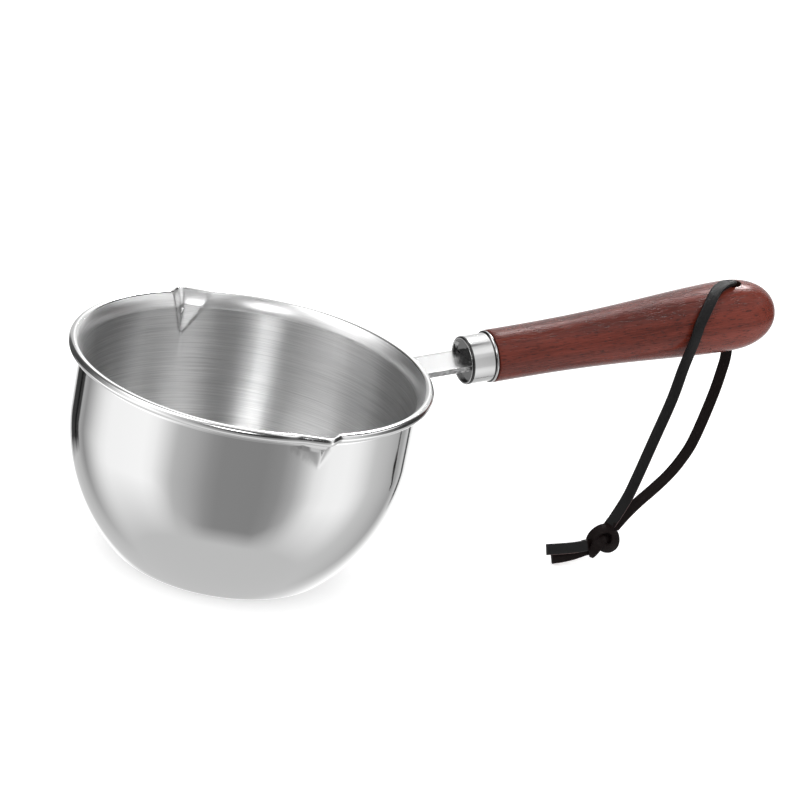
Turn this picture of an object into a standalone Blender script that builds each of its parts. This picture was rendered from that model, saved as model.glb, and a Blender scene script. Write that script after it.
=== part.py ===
"""Hot oil pot: a drawn steel bowl with two pour spouts, a strap arm and a turned wooden handle.

All sizes are in metres. +Z is up, the origin is the middle of the flat base on its resting face,
and the handle points along +X and rises a little. Stations along the handle are distances from the
bowl's upright axis, measured along the tilted handle line.
"""
import math

import bmesh
import bpy
from mathutils import Matrix, Vector

# Clearance between pieces that touch on the real object
FIT = 0.0003

# Bowl
SHEET = 0.0010
WALL_RADIUS = 0.0602
BASE_RADIUS = 0.0355
KNUCKLE_RADIUS = 0.0060
UPRIGHT_FROM = 0.0506
RIM_HEIGHT = 0.07355
BEAD_RADIUS = 0.0017
BEND_RADIUS = 0.0030
BEND_ANGLE = math.radians(18.0)
FLARE_RADIUS = 0.0090
RIM_OVERHANG = 0.0044
BOWL_COLUMNS = 64
COLUMN_CROWDING = 0.6

# Pour spouts, pressed out of the rim square to the handle, each steeper on one flank
SPOUT_REACH = 0.0050
SPOUT_WIDE_FLANK = 0.0110
SPOUT_STEEP_FLANK = 0.0050
SPOUT_DEPTH = 0.01475
SPOUT_ROUNDING = 0.12
LIP_HOLD_BACK = 0.3

# Handle line
HANDLE_DROP = 0.01285
HANDLE_RISE = math.radians(8.842)

# Strap: foot on the wall, bend, arm, tang
STRAP_THICKNESS = 0.0020
STRAP_WIDTH = 0.0147
STRAP_BEND = 0.0030
FOOT_DROP = 0.02155
FOOT_CORNER = 0.0040
ARM_REACH = 0.0254
TANG_WIDTH = 0.0080
TANG_LENGTH = 0.0114

# Ferrule cup on the front of the grip
CUP_LIP = 0.0012
CUP_FLOOR = 0.0010
CUP_DEPTH = 0.0084
CUP_BORE = 0.0079
CUP_WALL = 0.0009
FLANGE_RADIUS = 0.0095
FLANGE_ROLL = 0.0006

# Wooden grip
GRIP_FRONT_RADIUS = 0.0096
GRIP_LENGTH = 0.0977
BULB_RADIUS = 0.0131
BULB_NOSE = 0.0196
NOSE_POWER = 2.2
GRIP_TAPER_POWER = 1.5
SHOULDER_EDGE = 0.0004
TENON_FRONT_GAP = 0.0003

# Stud and brass insert inside the grip
STUD_RADIUS = 0.0025
STUD_LENGTH = 0.0427
INSERT_WALL = 0.0013
INSERT_LENGTH = 0.0120
INSERT_SETBACK = 0.0027

# Lace hole across the grip
HOLE_RADIUS = 0.0030
HOLE_FROM_END = 0.0176
HOLE_MOUTH_RADIUS = 0.0042
HOLE_MOUTH_DEPTH = 0.0016

# Leather lace
LACE_RADIUS = 0.0012
KNOT_CORE = (0.0060, 0.0052, 0.0066)
KNOT_WRAP_RADIUS = 0.0046
KNOT_WRAP_THICKNESS = 0.0020

# Values worked out from the ones above
FLARE_CENTRE_RADIUS = WALL_RADIUS + BEND_RADIUS + (FLARE_RADIUS - BEND_RADIUS) * math.cos(BEND_ANGLE)
BEAD_CENTRE_RADIUS = WALL_RADIUS + RIM_OVERHANG - BEAD_RADIUS
BEAD_OFFSET = FLARE_RADIUS + SHEET - BEAD_RADIUS
BEAD_ANGLE = math.acos((BEAD_CENTRE_RADIUS - FLARE_CENTRE_RADIUS) / BEAD_OFFSET)
FLARE_CENTRE_HEIGHT = RIM_HEIGHT - BEAD_OFFSET * math.sin(BEAD_ANGLE)
BEND_HEIGHT = FLARE_CENTRE_HEIGHT + (FLARE_RADIUS - BEND_RADIUS) * math.sin(BEND_ANGLE)
HANDLE_HEIGHT = RIM_HEIGHT - HANDLE_DROP
CUP_FACE = WALL_RADIUS + ARM_REACH
CUP_BACK = CUP_FACE + CUP_FLOOR
CUP_END = CUP_BACK + CUP_DEPTH
GRIP_START = CUP_END + FIT
BULB_STATION = GRIP_START + GRIP_LENGTH
GRIP_END = BULB_STATION + BULB_NOSE
TANG_START = CUP_FACE - FIT
TANG_END = TANG_START + TANG_LENGTH
STUD_START = TANG_END + FIT
STUD_END = STUD_START + STUD_LENGTH
BORE_RADIUS = math.hypot(TANG_WIDTH, STRAP_THICKNESS) / 2 + FIT
PILOT_RADIUS = STUD_RADIUS + FIT * 1.2
INSERT_BORE = STUD_RADIUS + FIT
INSERT_START = STUD_START + INSERT_SETBACK
INSERT_END = INSERT_START + INSERT_LENGTH
HOLE_STATION = GRIP_END - HOLE_FROM_END

# Lace route, chosen by hand in the handle's own frame, in millimetres: along the handle from the
# hole, to the side, and up. The bight runs from under the hole, through it and over the shoulder.
UNDER_HOLE = (0.0, 0.0, -14.8)
OFF_GRIP = (-22.5, -13.9, -0.9)
BIGHT_ROUTE = (
    UNDER_HOLE,
    (0.0, 0.0, -10.0),
    (0.0, 0.0, 0.0),
    (0.0, 0.0, 8.0),
    (-0.1, -0.5, 11.6),
    (-0.4, -1.8, 13.9),
    (-1.4, -2.9, 14.5),
    (-4.1, -3.0, 14.5),
    (-6.4, -3.6, 14.3),
    (-8.9, -4.9, 13.9),
    (-11.1, -6.6, 13.1),
    (-13.3, -8.4, 11.8),
    (-17.0, -11.2, 8.8),
    (-20.3, -13.2, 4.9),
    OFF_GRIP,
)
NEAR_LEG_ROUTE = (
    OFF_GRIP,
    (-26.4, -14.2, -10.6),
    (-30.8, -14.8, -22.9),
    (-37.7, -15.7, -37.7),
    (-44.6, -16.6, -52.4),
    (-48.5, -17.0, -59.8),
    (-54.7, -17.6, -68.4),
)
FAR_LEG_ROUTE = (
    UNDER_HOLE,
    (-1.9, -0.5, -22.9),
    (-6.1, -1.8, -33.2),
    (-14.3, -5.0, -46.9),
    (-21.0, -7.6, -53.2),
    (-27.5, -10.0, -57.1),
    (-34.4, -12.2, -60.2),
    (-41.6, -14.2, -63.3),
    (-47.6, -15.7, -66.7),
    (-52.5, -16.8, -70.3),
)
KNOT_CENTRE = (-58.2, -18.0, -74.2)
FRONT_TAIL_ROUTE = (
    (-65.1, -19.2, -74.4),
    (-70.5, -19.6, -74.0),
    (-76.5, -19.9, -73.2),
    (-82.1, -20.0, -72.4),
)
BACK_TAIL_ROUTE = (
    (-64.3, -17.2, -77.4),
    (-69.5, -17.7, -77.9),
    (-74.5, -18.2, -77.8),
    (-78.9, -18.5, -77.4),
)

# Collections
POT = bpy.data.collections.new("hot_oil_pot")
CUTTERS = bpy.data.collections.new("cutters")


def clear_scene():
    """Removes what the scene holds and links the two collections."""
    for obj in list(bpy.data.objects):
        bpy.data.objects.remove(obj, do_unlink=True)
    bpy.context.scene.collection.children.link(POT)
    bpy.context.scene.collection.children.link(CUTTERS)


def material(name, colour, metallic, roughness):
    """Returns a plain material with one Principled BSDF."""
    made = bpy.data.materials.new(name)
    made.use_nodes = True
    shader = made.node_tree.nodes["Principled BSDF"]
    shader.inputs["Base Color"].default_value = (*colour, 1.0)
    shader.inputs["Metallic"].default_value = metallic
    shader.inputs["Roughness"].default_value = roughness
    return made


def place(obj, surface=None, parent=None, collection=POT):
    """Links an object, gives it its material and hangs it on its parent."""
    for owner in list(obj.users_collection):
        owner.objects.unlink(obj)
    collection.objects.link(obj)
    if surface:
        obj.data.materials.append(surface)
    if parent:
        obj.parent = parent
    return obj


def empty(name, location, rotation, parent=None):
    """Adds an empty that carries other objects."""
    obj = bpy.data.objects.new(name, None)
    obj.empty_display_size = 0.01
    obj.location = location
    obj.rotation_euler = rotation
    return place(obj, parent=parent)


def soften(mesh, angle=35.0):
    """Shades a mesh smooth but keeps its sharp edges."""
    mesh.shade_smooth()
    mesh.set_sharp_from_angle(angle=math.radians(angle))


def arc(centre, radius, start, end, steps):
    """Points of an arc, in degrees from +X, both ends included."""
    points = []
    for i in range(steps + 1):
        angle = math.radians(start + (end - start) * i / steps)
        points.append((centre[0] + radius * math.cos(angle), centre[1] + radius * math.sin(angle)))
    return points


def baked(obj):
    """Returns the mesh that an object's modifiers or curve give."""
    graph = bpy.context.evaluated_depsgraph_get()
    return bpy.data.meshes.new_from_object(obj.evaluated_get(graph), depsgraph=graph)


def turned(name, profile, steps, surface=None, parent=None, collection=POT):
    """Turns an (radius, height) profile about Z. It runs top to bottom down its outer side."""
    outline = bpy.data.meshes.new(name)
    last = len(profile) - 1
    outline.from_pydata([(r, 0.0, z) for r, z in profile], [(i, i + 1) for i in range(last)], [])
    if profile[0][0] > 0.0:
        closing = bmesh.new()
        closing.from_mesh(outline)
        closing.verts.ensure_lookup_table()
        closing.edges.new((closing.verts[last], closing.verts[0]))
        closing.to_mesh(outline)
        closing.free()
    obj = place(bpy.data.objects.new(name, outline), parent=parent, collection=collection)
    screw = obj.modifiers.new("turn", "SCREW")
    screw.steps = steps
    screw.render_steps = steps
    screw.use_merge_vertices = True
    screw.merge_threshold = 0.00001
    screw.use_smooth_shade = True
    bpy.context.view_layer.update()
    solid = baked(obj)
    obj.modifiers.clear()
    obj.data = solid
    bpy.data.meshes.remove(outline)
    solid.name = name
    soften(solid)
    if surface:
        solid.materials.append(surface)
    return obj


def boolean(obj, tool, operation):
    """Cuts a piece with a tool, or joins the tool to it."""
    step = obj.modifiers.new(operation.lower(), "BOOLEAN")
    step.operation = operation
    step.solver = "EXACT"
    step.object = tool
    tool.hide_render = True
    tool.display_type = "WIRE"


def bowl_profile():
    """Closed section of the sheet, from the axis inside, over the bead, to the axis outside."""
    rise = UPRIGHT_FROM - KNUCKLE_RADIUS
    run = WALL_RADIUS - BASE_RADIUS
    belly = (run * run + rise * rise - KNUCKLE_RADIUS**2) / (2 * (run - KNUCKLE_RADIUS))
    belly_centre = (WALL_RADIUS - belly, UPRIGHT_FROM)
    knuckle_centre = (BASE_RADIUS, KNUCKLE_RADIUS)
    turn = -math.degrees(math.atan2(rise, BASE_RADIUS - belly_centre[0]))
    bend_centre = (WALL_RADIUS + BEND_RADIUS, BEND_HEIGHT)
    bend_end = 180.0 - math.degrees(BEND_ANGLE)
    flare_centre = (FLARE_CENTRE_RADIUS, FLARE_CENTRE_HEIGHT)
    bead_centre = (BEAD_CENTRE_RADIUS, RIM_HEIGHT)
    bead_top = math.degrees(BEAD_ANGLE)
    tuck = (FLARE_RADIUS**2 + BEAD_OFFSET**2 - BEAD_RADIUS**2) / (2 * FLARE_RADIUS * BEAD_OFFSET)
    fillet_end = bead_top + math.degrees(math.acos(tuck))
    join = arc(flare_centre, FLARE_RADIUS, fillet_end, fillet_end, 1)[0]
    bead_end = math.degrees(math.atan2(join[1] - RIM_HEIGHT, join[0] - BEAD_CENTRE_RADIUS)) % 360.0
    spout_foot = RIM_HEIGHT - SPOUT_DEPTH
    middle = (spout_foot + BEND_HEIGHT) / 2

    inside = [(0.0, SHEET)]
    inside += arc(knuckle_centre, KNUCKLE_RADIUS - SHEET, -90.0, turn, 3)
    inside += arc(belly_centre, belly - SHEET, turn, 0.0, 7)[1:]
    inside += [(WALL_RADIUS - SHEET, z) for z in (spout_foot, middle)]
    inside += arc(bend_centre, BEND_RADIUS + SHEET, 180.0, bend_end, 2)
    inside += arc(flare_centre, FLARE_RADIUS + SHEET, bend_end, bead_top, 3)[1:]
    bead = arc(bead_centre, BEAD_RADIUS, bead_top, bead_end - 360.0, 7)[1:-1]
    outside = arc(flare_centre, FLARE_RADIUS, fillet_end, bend_end, 2)
    outside += arc(bend_centre, BEND_RADIUS, bend_end, 180.0, 2)[1:]
    outside += [(WALL_RADIUS, z) for z in (middle, spout_foot)]
    outside += arc(belly_centre, belly, 0.0, turn, 7)
    outside += arc(knuckle_centre, KNUCKLE_RADIUS, turn, -90.0, 3)[1:]
    outside += [(0.0, 0.0)]
    return inside + bead + outside


def spout_push(radius, angle, height):
    """How far the spouts push a point of the bowl outward."""
    lift = (height - (RIM_HEIGHT - SPOUT_DEPTH)) / (SPOUT_DEPTH + BEAD_RADIUS)
    lift = min(max(lift, 0.0), 1.0)
    if lift == 0.0:
        return 0.0
    turn = angle - math.copysign(math.pi / 2, angle)
    flank = SPOUT_STEEP_FLANK if turn > 0.0 else SPOUT_WIDE_FLANK
    across = abs(turn) * (WALL_RADIUS + RIM_OVERHANG) / (flank * lift)
    fold = 1.0 - math.hypot(across, SPOUT_ROUNDING)
    fold = (fold + math.hypot(fold, SPOUT_ROUNDING)) / 2 if across < 2.0 else 0.0
    lip = min(max((radius - WALL_RADIUS) / RIM_OVERHANG, 0.0), 1.0)
    hold = 1.0 - LIP_HOLD_BACK * lip * lip * (3 - 2 * lip)
    return SPOUT_REACH * lift * fold * hold


def make_bowl(steel):
    """The drawn bowl: turned, its columns crowded towards the spouts, and the spouts pressed."""
    bowl = turned("bowl", bowl_profile(), BOWL_COLUMNS, steel)
    for vertex in bowl.data.vertices:
        x, y, z = vertex.co
        radius = math.hypot(x, y)
        if radius < FIT:
            continue
        angle = math.atan2(y, x)
        angle += COLUMN_CROWDING / 2 * math.sin(2 * angle)
        radius += spout_push(radius, angle, z)
        vertex.co = (radius * math.cos(angle), radius * math.sin(angle), z)
    soften(bowl.data)
    return bowl


def strap_rows():
    """Rows across the strap: middle point, side-to-side half width, and how far it curves."""
    offset = WALL_RADIUS + FIT + STRAP_THICKNESS / 2
    corner_height = HANDLE_HEIGHT + offset * math.tan(HANDLE_RISE)
    turn = math.pi / 2 - HANDLE_RISE
    tangent = STRAP_BEND * math.tan(turn / 2)
    half = STRAP_WIDTH / 2
    foot = RIM_HEIGHT - FOOT_DROP
    rows = []
    for i in range(5):
        angle = math.radians(90.0 * i / 4)
        rise = FOOT_CORNER * (1 - math.cos(angle))
        rows.append((offset, foot + rise, half - FOOT_CORNER * (1 - math.sin(angle)), 1.0))
    centre = (offset + STRAP_BEND, corner_height - tangent)
    for i in range(7):
        share = i / 6
        angle = math.pi - turn * share
        x = centre[0] + STRAP_BEND * math.cos(angle)
        rows.append((x, centre[1] + STRAP_BEND * math.sin(angle), half, 1.0 - share))
    for station in (TANG_START, TANG_END):
        x = station * math.cos(HANDLE_RISE)
        rows.append((x, HANDLE_HEIGHT + station * math.sin(HANDLE_RISE), half, 0.0))
    return rows


def make_strap(steel):
    """The flat strap: an open strip with its foot curved to the wall, thickened both ways."""
    rows = strap_rows()
    inner = TANG_WIDTH / STRAP_WIDTH
    columns = (-1.0, -inner, 0.0, inner, 1.0)
    strip = bmesh.new()
    grid = []
    for x, z, half, curve in rows:
        line = []
        for share in columns:
            y = half * share
            line.append(strip.verts.new((x - curve * y * y / (2 * WALL_RADIUS), y, z)))
        grid.append(line)
    for i in range(len(grid) - 1):
        in_tang = i == len(grid) - 2
        for j in range(1, 3) if in_tang else range(4):
            strip.faces.new((grid[i][j], grid[i][j + 1], grid[i + 1][j + 1], grid[i + 1][j]))
    for loose in [v for v in strip.verts if not v.link_faces]:
        strip.verts.remove(loose)
    mesh = bpy.data.meshes.new("handle_strap")
    strip.to_mesh(mesh)
    strip.free()
    strap = place(bpy.data.objects.new("handle_strap", mesh), steel)
    thicken = strap.modifiers.new("thickness", "SOLIDIFY")
    thicken.thickness = STRAP_THICKNESS
    thicken.offset = 0.0
    thicken.use_even_offset = True
    soften(mesh)
    return strap


def make_ferrule(steel, axis):
    """The ferrule: a cup with a slotted floor, a round front lip and a rolled rear flange."""
    outer = CUP_BORE + CUP_WALL
    lip = CUP_WALL / 2
    roll = (FLANGE_RADIUS - FLANGE_ROLL, CUP_END - FLANGE_ROLL)
    profile = [(0.0, CUP_BACK), (CUP_BORE, CUP_BACK), (CUP_BORE, CUP_END)]
    profile += arc(roll, FLANGE_ROLL, 90.0, -60.0, 5)
    profile += [(outer, CUP_END - FLANGE_ROLL * 2.4)]
    profile += arc((CUP_BORE + lip, CUP_FACE - CUP_LIP + lip), lip, 0.0, -180.0, 6)
    profile += [(CUP_BORE, CUP_FACE), (0.0, CUP_FACE)]
    ferrule = turned("ferrule", profile, 36, steel, axis)
    bpy.ops.mesh.primitive_cube_add(size=1.0)
    slot = place(bpy.context.object, parent=axis, collection=CUTTERS)
    slot.name = "tang_slot"
    slot.location = (0.0, 0.0, CUP_FACE + CUP_FLOOR / 2)
    slot.scale = (STRAP_THICKNESS + 2 * FIT, TANG_WIDTH + 2 * FIT, CUP_FLOOR * 3)
    boolean(ferrule, slot, "DIFFERENCE")
    return ferrule


def grip_radius(station):
    """Radius of the grip between its shoulder and its bulb."""
    share = min(max((station - GRIP_START) / GRIP_LENGTH, 0.0), 1.0) ** GRIP_TAPER_POWER
    return GRIP_FRONT_RADIUS + (BULB_RADIUS - GRIP_FRONT_RADIUS) * share * share * (3 - 2 * share)


def make_grip(wood, axis):
    """The turned grip: round nose, bulb, waist, tenon for the ferrule, and the stepped bore."""
    profile = []
    for i in range(9):
        angle = math.radians(90.0 * (8 - i) / 8)
        radius = BULB_RADIUS * math.cos(angle) ** (2 / NOSE_POWER) if i else 0.0
        profile.append((radius, BULB_STATION + BULB_NOSE * math.sin(angle) ** (2 / NOSE_POWER)))
    for i in range(1, 12):
        station = BULB_STATION - (GRIP_LENGTH - SHOULDER_EDGE) * i / 11
        profile.append((grip_radius(station), station))
    profile += [
        (GRIP_FRONT_RADIUS - SHOULDER_EDGE, GRIP_START),
        (CUP_BORE - FIT, GRIP_START),
        (CUP_BORE - FIT, CUP_BACK + TENON_FRONT_GAP),
        (BORE_RADIUS, CUP_BACK + TENON_FRONT_GAP),
        (BORE_RADIUS, INSERT_END + FIT),
        (PILOT_RADIUS, INSERT_END + FIT),
        (PILOT_RADIUS, STUD_END + FIT),
        (0.0, STUD_END + FIT),
    ]
    grip = turned("wood_handle", profile, 36, wood, axis)
    edge = BULB_RADIUS - HOLE_MOUTH_DEPTH
    beyond = HOLE_MOUTH_RADIUS - HOLE_RADIUS
    mouth = [(0.0, BULB_RADIUS + beyond), (HOLE_MOUTH_RADIUS + beyond, BULB_RADIUS + beyond)]
    mouth += [(HOLE_MOUTH_RADIUS, BULB_RADIUS - beyond / 3), (HOLE_RADIUS, edge)]
    drill = turned("lace_drill", mouth + [(r, -z) for r, z in reversed(mouth)], 20, None, axis, CUTTERS)
    drill.location = (0.0, 0.0, HOLE_STATION)
    drill.rotation_euler = (0.0, math.radians(90.0), 0.0)
    boolean(grip, drill, "DIFFERENCE")
    return grip


def make_stud(steel, axis):
    """The stud on the tang's end, inside the grip."""
    bpy.ops.mesh.primitive_cylinder_add(vertices=20, radius=STUD_RADIUS, depth=STUD_LENGTH)
    stud = place(bpy.context.object, steel, axis)
    stud.name = "tang_stud"
    stud.location = (0.0, 0.0, STUD_START + STUD_LENGTH / 2)
    soften(stud.data)
    return stud


def make_insert(brass, axis):
    """The brass insert that the stud screws into."""
    outer = min(INSERT_BORE + INSERT_WALL, BORE_RADIUS - FIT)
    ring = [(outer, INSERT_END), (outer, INSERT_START), (INSERT_BORE, INSERT_START), (INSERT_BORE, INSERT_END)]
    return turned("stud_insert", ring, 24, brass, axis)


def handle_point(point, origin=(0.0, 0.0, 0.0)):
    """A lace point in the frame of the handle's empty, less an origin given the same way."""
    along, side, up = (0.001 * (a - b) for a, b in zip(point, origin))
    return Vector((-up, side, along))


def smooth_route(points, spacing):
    """Points along a smooth curve through a route, evenly spaced."""
    fine = []
    for i in range(len(points) - 1):
        before = points[max(i - 1, 0)]
        after = points[min(i + 2, len(points) - 1)]
        a, b = points[i], points[i + 1]
        for j in range(20):
            t = j / 20
            part = 2 * a + (b - before) * t
            part = part + (2 * before - 5 * a + 4 * b - after) * t**2
            fine.append((part + (3 * a - before - 3 * b + after) * t**3) / 2)
    fine.append(points[-1])
    total = sum((fine[i + 1] - fine[i]).length for i in range(len(fine) - 1))
    count = max(round(total / spacing), 3)
    even = [fine[0]]
    walked = 0.0
    for i in range(len(fine) - 1):
        walked += (fine[i + 1] - fine[i]).length
        if walked >= total * len(even) / count - 1e-9:
            even.append(fine[i + 1])
    even[-1] = fine[-1]
    return even


def rounded_ends(points, radius):
    """Adds a half-round nose past both ends: returns points and their shares of the radius."""
    noses = []
    for end, inner in ((points[0], points[1]), (points[-1], points[-2])):
        way = (end - inner).normalized()
        steps = [math.radians(a) for a in (30.0, 60.0, 85.0)]
        noses.append([(end + way * radius * math.sin(a), math.cos(a)) for a in steps])
    shaped = list(reversed(noses[0])) + [(p, 1.0) for p in points] + noses[1]
    return [p for p, share in shaped], [share for p, share in shaped]


def tube(name, points, shares, surface, parent):
    """A lace stretch as a round tube along its points."""
    curve = bpy.data.curves.new(name, "CURVE")
    curve.dimensions = "3D"
    curve.bevel_depth = LACE_RADIUS
    curve.bevel_resolution = 2
    curve.use_fill_caps = True
    spline = curve.splines.new("POLY")
    spline.points.add(len(points) - 1)
    for spot, point, share in zip(spline.points, points, shares):
        spot.co = (*point, 1.0)
        spot.radius = share
    return place(bpy.data.objects.new(name, curve), surface, parent)


def make_bight(leather, axis):
    """The lace from under the hole, up through it, and over the grip's shoulder."""
    route = smooth_route([handle_point(p) for p in BIGHT_ROUTE], LACE_RADIUS * 2)
    points, shares = rounded_ends(route, LACE_RADIUS)
    bight = tube("lace_bight", points, shares, leather, axis)
    bight.location = (0.0, 0.0, HOLE_STATION)
    return bight


def make_leg(name, route, leather, hinge):
    """One hanging side of the loop. It starts clear of the bight's round end."""
    points = smooth_route([handle_point(p, UNDER_HOLE) for p in route], LACE_RADIUS * 5)
    way = (points[1] - points[0]).normalized()
    points[0] = points[0] + way * (LACE_RADIUS + FIT)
    return tube(name, points, [1.0] * len(points), leather, hinge)


def make_tail(name, route, leather, hinge):
    """One free end of the lace, past the knot."""
    points = smooth_route([handle_point(p, UNDER_HOLE) for p in route], LACE_RADIUS * 5)
    return tube(name, points, [1.0] * len(points), leather, hinge)


def make_knot(leather, hinge):
    """The overhand knot: a round core with one wrap of the lace about it."""
    centre = handle_point(KNOT_CENTRE, UNDER_HOLE)
    bpy.ops.mesh.primitive_uv_sphere_add(segments=20, ring_count=12, radius=1.0)
    knot = place(bpy.context.object, leather, hinge)
    knot.name = "lace_knot"
    knot.data.transform(Matrix.Diagonal((*KNOT_CORE, 1.0)))
    knot.location = centre
    bpy.ops.mesh.primitive_torus_add(
        major_segments=20, minor_segments=10, major_radius=KNOT_WRAP_RADIUS, minor_radius=KNOT_WRAP_THICKNESS
    )
    wrap = place(bpy.context.object, parent=hinge, collection=CUTTERS)
    wrap.name = "knot_wrap"
    wrap.location = centre
    wrap.rotation_euler = (math.radians(25.0), math.radians(35.0), 0.0)
    boolean(knot, wrap, "UNION")
    soften(knot.data)
    return knot


def main():
    clear_scene()
    steel = material("satin_steel", (0.62, 0.62, 0.61), 1.0, 0.32)
    bright = material("polished_steel", (0.70, 0.70, 0.69), 1.0, 0.12)
    wood = material("red_brown_wood", (0.17, 0.048, 0.038), 0.0, 0.38)
    brass = material("brass", (0.72, 0.52, 0.22), 1.0, 0.30)
    leather = material("dark_leather", (0.016, 0.013, 0.012), 0.0, 0.62)

    make_bowl(steel)
    make_strap(steel)
    lean = (0.0, math.pi / 2 - HANDLE_RISE, 0.0)
    axis = empty("handle_line", (0.0, 0.0, HANDLE_HEIGHT), lean)
    make_ferrule(bright, axis)
    make_grip(wood, axis)
    make_stud(steel, axis)
    make_insert(brass, axis)
    make_bight(leather, axis)
    pivot = handle_point(UNDER_HOLE) + Vector((0.0, 0.0, HOLE_STATION))
    hinge = empty("loop_hinge", pivot, (0.0, 0.0, 0.0), axis)
    make_leg("lace_near_leg", NEAR_LEG_ROUTE, leather, hinge)
    make_leg("lace_far_leg", FAR_LEG_ROUTE, leather, hinge)
    make_knot(leather, hinge)
    make_tail("lace_tail_front", FRONT_TAIL_ROUTE, leather, hinge)
    make_tail("lace_tail_back", BACK_TAIL_ROUTE, leather, hinge)
    bpy.context.view_layer.update()


main()
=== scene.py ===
"""Looks of the hot oil pot: brushed and polished steel, oiled hardwood and a flat leather lace.

All sizes are in metres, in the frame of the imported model. Sizes that the model also has carry the
same names and values here as in its source.
"""

import math

import bmesh
import bpy
import numpy as np
from mathutils import Matrix, Vector


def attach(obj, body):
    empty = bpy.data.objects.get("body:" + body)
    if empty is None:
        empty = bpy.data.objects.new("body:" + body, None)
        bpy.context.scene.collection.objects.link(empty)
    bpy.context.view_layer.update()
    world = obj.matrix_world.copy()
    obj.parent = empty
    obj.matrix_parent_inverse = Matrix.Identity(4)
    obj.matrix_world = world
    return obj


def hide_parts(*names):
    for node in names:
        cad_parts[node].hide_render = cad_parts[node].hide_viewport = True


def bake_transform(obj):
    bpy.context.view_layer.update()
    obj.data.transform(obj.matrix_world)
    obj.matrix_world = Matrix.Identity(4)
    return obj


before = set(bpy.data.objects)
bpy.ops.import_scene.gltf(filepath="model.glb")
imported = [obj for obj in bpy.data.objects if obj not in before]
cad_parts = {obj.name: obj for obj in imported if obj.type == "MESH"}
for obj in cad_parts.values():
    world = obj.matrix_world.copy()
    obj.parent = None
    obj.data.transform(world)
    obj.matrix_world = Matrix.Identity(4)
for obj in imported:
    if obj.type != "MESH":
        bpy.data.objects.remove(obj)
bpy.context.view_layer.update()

# Photograph's view
IMAGE_SIDE = 800
FOCAL_PIXELS = 4000.0
SENSOR_WIDTH = 36.0
VIEW_AZIMUTH = math.radians(-30.12)
VIEW_ELEVATION = math.radians(21.65)
VIEW_ROLL = math.radians(10.98)
VIEW_DISTANCE = 1.3956
TARGET_HEIGHT = 0.0743
TARGET_PIXEL = (252.5, 361.9)
FAR_CLIP = 100.0

# Sizes of the model
FIT = 0.0003
SHEET = 0.0010
WALL_RADIUS = 0.0602
BASE_RADIUS = 0.0355
KNUCKLE_RADIUS = 0.0060
UPRIGHT_FROM = 0.0506
RIM_HEIGHT = 0.07355
BEAD_RADIUS = 0.0017
BEND_RADIUS = 0.0030
BEND_ANGLE = math.radians(18.0)
FLARE_RADIUS = 0.0090
RIM_OVERHANG = 0.0044
COLUMN_CROWDING = 0.6
SPOUT_REACH = 0.0050
SPOUT_WIDE_FLANK = 0.0110
SPOUT_STEEP_FLANK = 0.0050
SPOUT_DEPTH = 0.01475
SPOUT_ROUNDING = 0.12
LIP_HOLD_BACK = 0.3
HANDLE_DROP = 0.01285
HANDLE_RISE = math.radians(8.842)
STRAP_THICKNESS = 0.0020
STRAP_WIDTH = 0.0147
STRAP_BEND = 0.0030
FOOT_DROP = 0.02155
FOOT_CORNER = 0.0040
ARM_REACH = 0.0254
TANG_WIDTH = 0.0080
CUP_LIP = 0.0012
CUP_FLOOR = 0.0010
CUP_DEPTH = 0.0084
CUP_BORE = 0.0079
CUP_WALL = 0.0009
FLANGE_RADIUS = 0.0095
FLANGE_ROLL = 0.0006
GRIP_FRONT_RADIUS = 0.0096
GRIP_LENGTH = 0.0977
BULB_RADIUS = 0.0131
BULB_NOSE = 0.0196
NOSE_POWER = 2.2
GRIP_TAPER_POWER = 1.5
SHOULDER_EDGE = 0.0004
TENON_FRONT_GAP = 0.0003
TANG_LENGTH = 0.0114
STUD_RADIUS = 0.0025
STUD_LENGTH = 0.0427
INSERT_SETBACK = 0.0027
INSERT_LENGTH = 0.0120
INSERT_WALL = 0.0013
HOLE_RADIUS = 0.0030
HOLE_FROM_END = 0.0176
HOLE_MOUTH_RADIUS = 0.0042
HOLE_MOUTH_DEPTH = 0.0016

# Finer forms, which only the looks have
BOWL_COLUMNS = 256
SPOUT_FADE = 2.0
OUTSIDE_SPOUT_ROUNDING = 0.55
OUTSIDE_SPOUT_DEPTH = 0.0120
STRAP_CORNER = 0.0003
STRAP_CORNER_STEPS = 2
STRAP_ACROSS_STEPS = 8
STRAP_BEND_STEPS = 12
FOOT_STEPS = 8
LIP_ROUND = 0.0003
LIP_LINE = 0.0005
FLANGE_NECK = 2.6
# Rows of the ferrule painted near black: painted shade in the groove before the flange and a painted dark
# reflection on the lip's round-over
PAINTED_SHADE_NECK_ROWS = 4
PAINTED_SHADE_LIP_ROWS = 6
THREAD_PITCH = 0.0010
THREAD_DEPTH = 0.0004
RIB_DEPTH = 0.0003
END_CHAMFER = 0.0004
AXIS_RADIUS = 1e-7
SHARP_ANGLE = 35.0
LACE_SHARP_ANGLE = 50.0

# The flat lace. It has HOLE_WIDTH_SHARE of its width in the hole and widens between the two
# HOLE_WIDTH_STEPS of its route. Its pale cut edge shows from PALE_EDGE_FROM of its length on.
LACE_WIDTH = 0.0041
LACE_THICKNESS = 0.0013
LACE_CORNER = 0.55
CURVE_STEPS = 20
LACE_SPACING = 0.0010
KNOT_SPACING = 0.0006
PALE_EDGE_SIDES = (4, 5)
PALE_EDGE_FROM = 0.22
HOLE_WIDTH_SHARE = 0.45
HOLE_WIDTH_STEPS = (12, 18)
TURN_TO_VIEW_STEPS = 22
LIE_DOWN_STEPS = 6
KNOT_TAPER = (-0.8, 1.6)

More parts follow.
